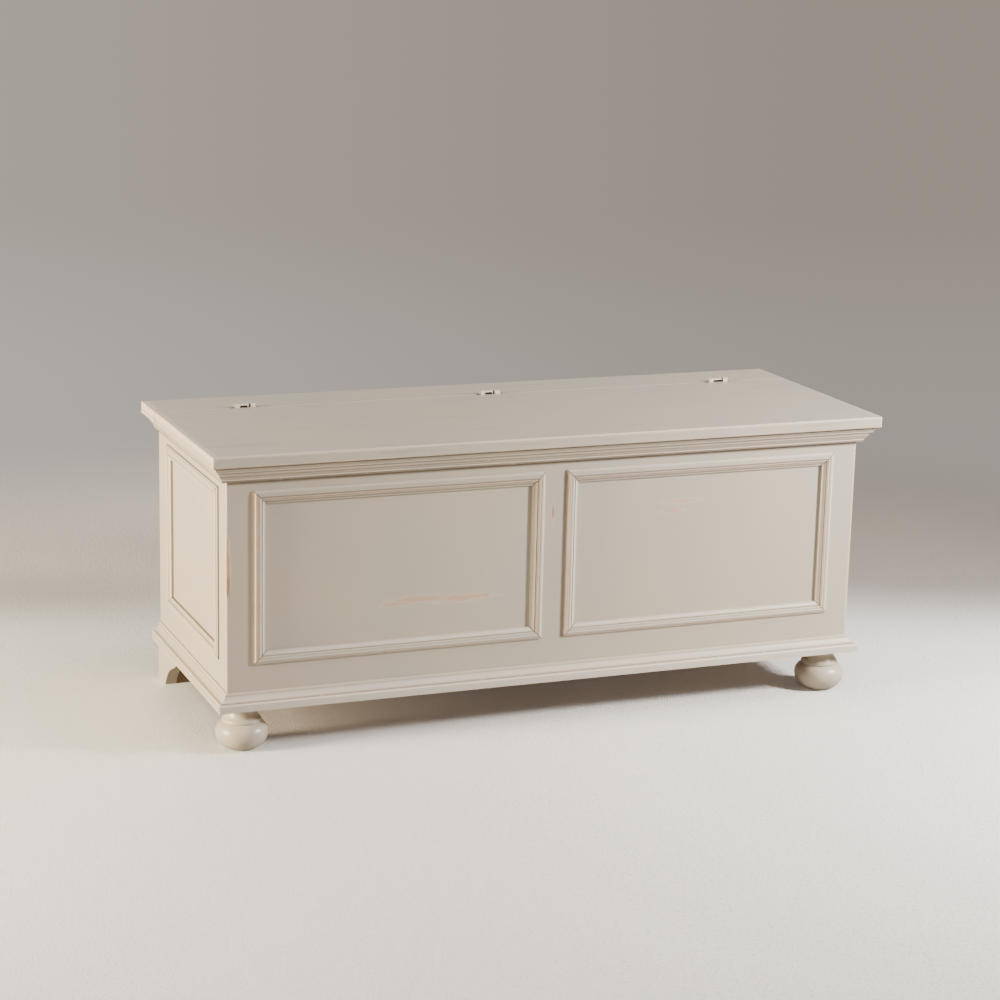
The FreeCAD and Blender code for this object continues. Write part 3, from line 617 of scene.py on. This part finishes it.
# Painted shade under the lid's overhang, in the cornice's quirks and along its foot, and in the joint's gap
# at the ends
def corniceProfileShade(finish, ragged):
    lines = strips(finish, corniceHigh.z - finish.z, [
        (-0.001, 0.0024, 0.7), (0.0100, 0.0112, 0.6), (0.0156, 0.0182, 0.5), (0.0252, 0.03, 0.7)])
    return finish.most(lines * finish.fade(ragged, 0.1, 0.45), jointGapShade(finish) * 0.6)


def corniceShade(finish, start, soft):  # the shade on a wall just below the cornice
    return finish.strip(finish.z, corniceLow.z - start, corniceLow.z + 0.001, soft, 0.002)


def frontStainAndShade(finish, ragged):  # painted shade under the cornice, a knot and the foot of the rubbed corner
    shade = corniceShade(finish, 0.003, 0.0055) * 0.5
    far = finish.away(knot, (0.0026, 0, 0.02))
    spot = finish.fade(far, 1.1, 0.2) * finish.fade(ragged, 0.3, 0.6) * 0.4
    foot = finish.fade(finish.lineDistance("z", leftCorner), 0.0068, 0.004)
    foot = foot * finish.fade(abs(finish.z - 0.28), 0.024, 0.01) * 0.4
    return finish.most(finish.most(shade, spot), foot)


def sideJointAndShade(finish, ragged):  # the dark joint over the base moulding, and the painted shade below the cornice
    joint = finish.fade(abs(finish.z - baseHigh.z), 0.0018, 0.0010) * 0.95 * finish.fade(ragged, 0.15, 0.35)
    return finish.most(joint, corniceShade(finish, 0.0015, 0.0025) * 0.4)


def insideFront(finish, ragged):  # bare pine from the boards' inner faces on
    return finish.fade(finish.y + ragged * 0.001, frontFace + wall - wallEdge, frontFace + wall + wallEdge)


def insideSide(finish, ragged):
    inward = abs(finish.x) - ragged * 0.001
    return finish.fade(inward, sideFace - wall + wallEdge, sideFace - wall - wallEdge)


def dress(material, *names):
    for name in names:
        for slot in nodes[name].material_slots:
            slot.material = material


caseStrokes = 0.35    # brush marks on the case, much fainter than on the lid
halves = ("left", "right")
levelSides = ("top", "bottom")
# Strips along each length: metres in from its outer edge, and how much. Rubbed, then darkened (mostly
# painted shade), then painted highlight
frontStrips = {
    "left": ([(0.0003, 0.0102, 0.85)],
             [(-0.003, 0.0003, 0.5)],
             [(0.0115, 0.0138, 0.6), (0.0155, 0.02, 0.3)]),
    "top": ([(0.0130, 0.0168, 0.7)],
            [(0.0100, 0.0120, 0.5), (0.0182, 0.0202, 0.55)],
            [(-0.001, 0.0030, 0.45)]),
    "right": ([(0.0078, 0.0128, 1.1), (0.0180, 0.0212, 0.8)],
              [(0.0134, 0.0146, 0.55), (0.0216, 0.0226, 0.4)],
              [(-0.001, 0.0036, 0.6), (0.0156, 0.0168, 0.5)]),
    "bottom": ([(0, 0.0038, 0.6)],
               [(-0.002, 0.0008, 0.35)],
               [(0.0065, 0.0098, 0.4), (0.0175, 0.0213, 0.5)]),
}
sideStrips = {
    "left": ([(0, 0.0060, 0.6)],
             [(0.0138, 0.0148, 0.25), (0.0212, 0.0226, 0.5)],
             [(0.0160, 0.0190, 0.2)]),
    "top": ([(0.0155, 0.0205, 0.6)],
            [(-0.003, 0.0011, 0.6)],
            [(0.0030, 0.0060, 0.2)]),
    "right": ([(0.0080, 0.0130, 0.7)],
              [(-0.003, 0.0003, 0.6)],
              [(0.0156, 0.0190, 0.2)]),
    "bottom": ([(0, 0.0040, 0.5)],
               [(0.0138, 0.0148, 0.5), (0.0212, 0.0226, 0.7)],
               [(0.0065, 0.0100, 0.2)]),
}
frames = [(False, frontStrips, ("front_left", "front_right")),
          (True, sideStrips, ("left_side", "right_side"))]

dress(paintedWood("lid paint", "x", lidRubs, glazeAndShade=lidStainAndShade, light=lidPaintedHighlight, strokes=2.4),
      "lid_board", "hinge_rail")
dress(paintedWood("front rail paint", "x", cornerRubs, glazeAndShade=frontStainAndShade, inside=insideFront,
                  strokes=caseStrokes),
      "front_rail_top", "front_rail_bottom")
dress(paintedWood("front stile paint", "z", cornerRubs, glazeAndShade=frontStainAndShade, inside=insideFront,
                  strokes=caseStrokes, bareShare=0.8),
      "front_stile_left", "front_stile_right")
dress(paintedWood("muntin paint", "z", scuffs=frontScuffs[-1:], glazeAndShade=frontStainAndShade, inside=insideFront,
                  strokes=caseStrokes, bareShare=0.6, paleShare=0.25),
      "front_muntin")
dress(paintedWood("front panel paint", "x", scuffs=frontScuffs[:-1], glazeAndShade=panelEdgeDarkening(False),
                  inside=insideFront, strokes=caseStrokes, bareShare=0.5, paleShare=0.28),
      "front_left_panel", "front_right_panel")
for sideways, table, walls in frames:
    for side, (worn, dark, light) in table.items():
        grain = "z" if side in halves else "y" if sideways else "x"
        dress(paintedWood(f"{walls[0]} moulding {side} paint", grain, bands=mouldingBands(sideways, worn),
                          glazeAndShade=mouldingJointsAndShade(sideways, dark), relief=mouldingRelief(sideways),
                          light=mouldingPaintedHighlight(sideways, light), strokes=caseStrokes,
                          bareShare=0.3 if sideways else 0.45),
              *(f"{name}_moulding_{side}" for name in walls))
dress(paintedWood("side rail paint", "y", cornerRubs, glazeAndShade=sideJointAndShade, inside=insideSide,
                  strokes=caseStrokes),
      *(f"{half}_side_rail_{side}" for half in halves for side in levelSides))
dress(paintedWood("side stile paint", "z", cornerRubs, glazeAndShade=sideJointAndShade, inside=insideSide,
                  strokes=caseStrokes, bareShare=0.8),
      *(f"{half}_side_{side}_stile" for half in halves for side in ("front", "rear")))
dress(paintedWood("side panel paint", "z", glazeAndShade=panelEdgeDarkening(True), inside=insideSide, strokes=caseStrokes),
      "left_side_panel", "right_side_panel")
dress(paintedWood("cornice paint", "x", edgeRubs(corniceEdges, False), glazeAndShade=corniceProfileShade, strokes=0.5),
      "lid_cornice_front")
dress(paintedWood("end cornice paint", "y", edgeRubs(corniceEdges, True), glazeAndShade=corniceProfileShade, strokes=0.5),
      "lid_cornice_left", "lid_cornice_right", "cornice_end_left", "cornice_end_right")
dress(paintedWood("base paint", "x", edgeRubs(baseEdges, False), glazeAndShade=baseJointsAndShade, light=basePaintedHighlight,
                  strokes=0.5),
      "base_moulding_front")
dress(paintedWood("end base paint", "y", edgeRubs(endBaseEdges, True), glazeAndShade=endBaseJointsAndShade, strokes=0.5),
      "base_moulding_left", "base_moulding_right")
dress(paintedWood("ball foot paint", "z", strokes=0.3, roughness=0.3), "ball_foot_left", "ball_foot_right")
dress(paintedWood("rear foot paint", "y", strokes=0.5), "rear_foot_left", "rear_foot_right")
dress(bareWood("back board pine", "x"), "back_board")
dress(bareWood("floor board pine", "x"), "floor_board")
# Corner blocks darkened as painted shade, for the shade they stand in under the chest
dress(bareWood("corner block pine", "z", (132, 110, 90)),
      "front_corner_block_left", "front_corner_block_right",
      "rear_corner_block_left", "rear_corner_block_right")
dress(metal("hinge finish", (206, 198, 186), (132, 120, 104), 0.0, 0.32, hingeSlot),
      "hinge_lid_leaves", "hinge_rail_leaves", "hinge_pins")
dress(metal("screw finish", (186, 182, 174), (120, 112, 100), 0.8, 0.3, screwSlot),
      "hinge_lid_screws", "hinge_rail_screws")
print("wood and metal finishes set")
